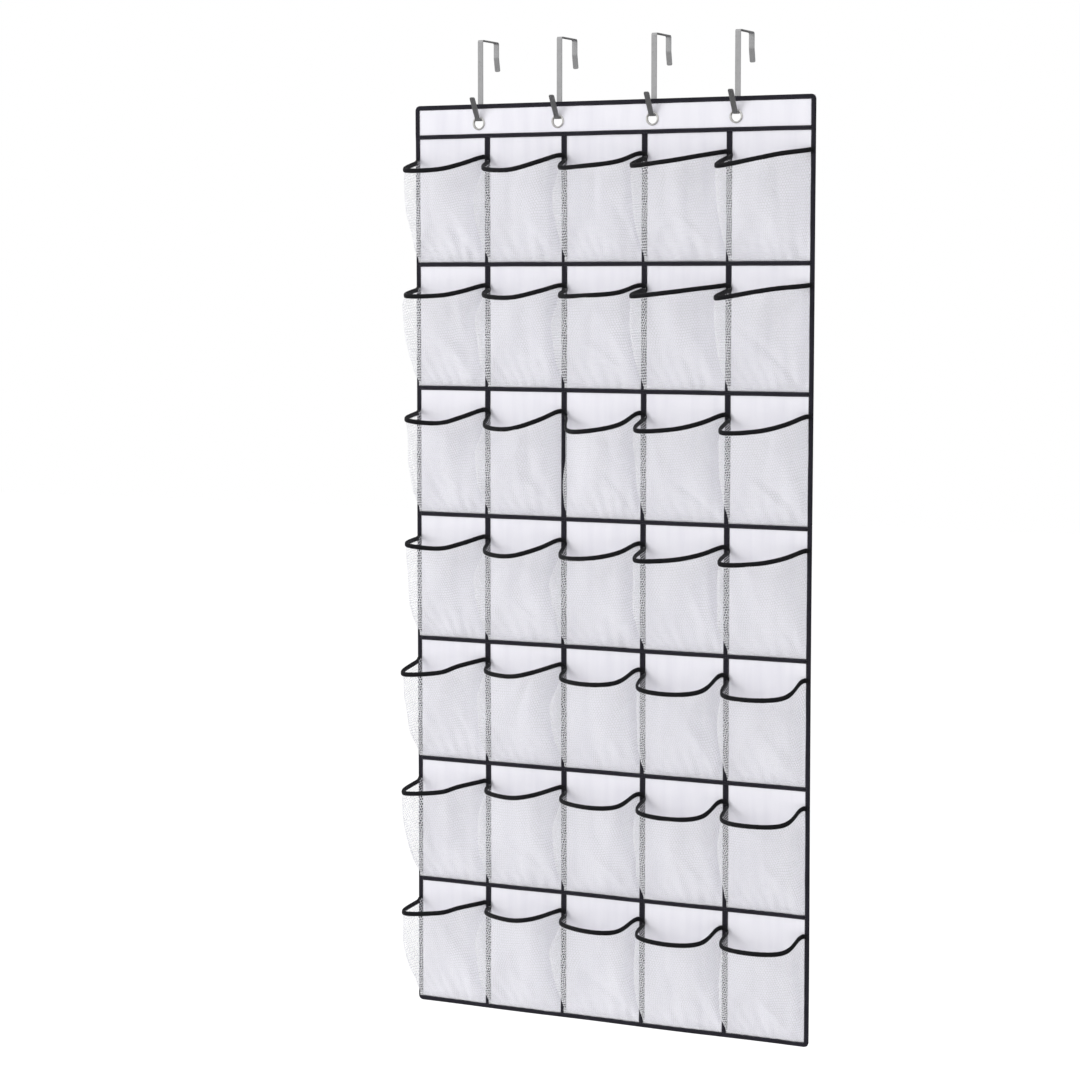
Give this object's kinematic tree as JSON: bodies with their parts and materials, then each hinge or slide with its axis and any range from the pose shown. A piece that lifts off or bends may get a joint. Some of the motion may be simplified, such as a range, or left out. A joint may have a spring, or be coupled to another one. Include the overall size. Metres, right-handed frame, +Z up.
{
  "type": "over-the-door shoe organizer",
  "caption": "Hanging fabric panel with rows and columns of bulging mesh pockets, black tape seams and piping, nickel eyelets and flat steel hooks that go over a door.",
  "frame": {"origin": "on the door's top edge and front face, midway between the hooks: underside of the hooks' top flanges, back of their shanks", "axes": "+X to the viewer's right, +Y back over the door, +Z up; the pockets face -Y"},
  "size_m": [0.6925, 0.1203, 1.5842],
  "materials": {
    "nonwoven_cloth": "white non-woven polypropylene cloth, point-bonded, faintly lavender",
    "pocket_mesh": "fine white open polyester mesh, half see-through",
    "black_tape": "matt black woven binding tape",
    "mouth_piping": "black folded piping, slightly smoother than the tape",
    "eyelet_nickel": "nickel-plated, bright with light scratches",
    "hook_steel": "satin zinc-plated strip"
  },
  "bodies": {
    "hook_1": {"hook_1": "hook_steel"},
    "panel": {"backing_panel": "nonwoven_cloth", "header_band": "nonwoven_cloth", "edge_binding": "black_tape", "column_tapes": "black_tape", "header_tape": "black_tape", "row_tape_1": "black_tape", "row_tape_2": "black_tape", "row_tape_3": "black_tape", "row_tape_4": "black_tape", "row_tape_5": "black_tape", "row_tape_6": "black_tape", "pocket_r1_c1": "pocket_mesh", "pocket_r1_c2": "pocket_mesh", "pocket_r1_c3": "pocket_mesh", "pocket_r1_c4": "pocket_mesh", "pocket_r1_c5": "pocket_mesh", "pocket_r2_c1": "pocket_mesh", "pocket_r2_c2": "pocket_mesh", "pocket_r2_c3": "pocket_mesh", "pocket_r2_c4": "pocket_mesh", "pocket_r2_c5": "pocket_mesh", "pocket_r3_c1": "pocket_mesh", "pocket_r3_c2": "pocket_mesh", "pocket_r3_c3": "pocket_mesh", "pocket_r3_c4": "pocket_mesh", "pocket_r3_c5": "pocket_mesh", "pocket_r4_c1": "pocket_mesh", "pocket_r4_c2": "pocket_mesh", "pocket_r4_c3": "pocket_mesh", "pocket_r4_c4": "pocket_mesh", "pocket_r4_c5": "pocket_mesh", "pocket_r5_c1": "pocket_mesh", "pocket_r5_c2": "pocket_mesh", "pocket_r5_c3": "pocket_mesh", "pocket_r5_c4": "pocket_mesh", "pocket_r5_c5": "pocket_mesh", "pocket_r6_c1": "pocket_mesh", "pocket_r6_c2": "pocket_mesh", "pocket_r6_c3": "pocket_mesh", "pocket_r6_c4": "pocket_mesh", "pocket_r6_c5": "pocket_mesh", "pocket_r7_c1": "pocket_mesh", "pocket_r7_c2": "pocket_mesh", "pocket_r7_c3": "pocket_mesh", "pocket_r7_c4": "pocket_mesh", "pocket_r7_c5": "pocket_mesh", "mouth_piping_r1": "mouth_piping", "mouth_piping_r2": "mouth_piping", "mouth_piping_r3": "mouth_piping", "mouth_piping_r4": "mouth_piping", "mouth_piping_r5": "mouth_piping", "mouth_piping_r6": "mouth_piping", "mouth_piping_r7": "mouth_piping", "eyelet_rings": "eyelet_nickel", "eyelet_washers": "eyelet_nickel"},
    "hook_2": {"hook_2": "hook_steel"},
    "hook_3": {"hook_3": "hook_steel"},
    "hook_4": {"hook_4": "hook_steel"}
  },
  "joints": [
    {"name": "panel_swing", "type": "hinge", "parent": "hook_1", "child": "panel", "pos_m": [-0.223, -0.0065, -0.1268], "axis": [-1, 0, 0], "range_deg": [-25, 6]},
    {"name": "hook_2_pivot", "type": "hinge", "parent": "panel", "child": "hook_2", "pos_m": [-0.082, -0.0065, -0.1268], "axis": [-1, 0, 0], "range_deg": [-6, 25]},
    {"name": "hook_3_pivot", "type": "hinge", "parent": "panel", "child": "hook_3", "pos_m": [0.082, -0.0065, -0.1268], "axis": [-1, 0, 0], "range_deg": [-6, 25]},
    {"name": "hook_4_pivot", "type": "hinge", "parent": "panel", "child": "hook_4", "pos_m": [0.223, -0.0065, -0.1268], "axis": [-1, 0, 0], "range_deg": [-6, 25]}
  ],
  "couplings": [
    {"joint": "hook_2_pivot", "follows": "panel_swing", "ratio": -1},
    {"joint": "hook_3_pivot", "follows": "panel_swing", "ratio": -1},
    {"joint": "hook_4_pivot", "follows": "panel_swing", "ratio": -1}
  ]
}
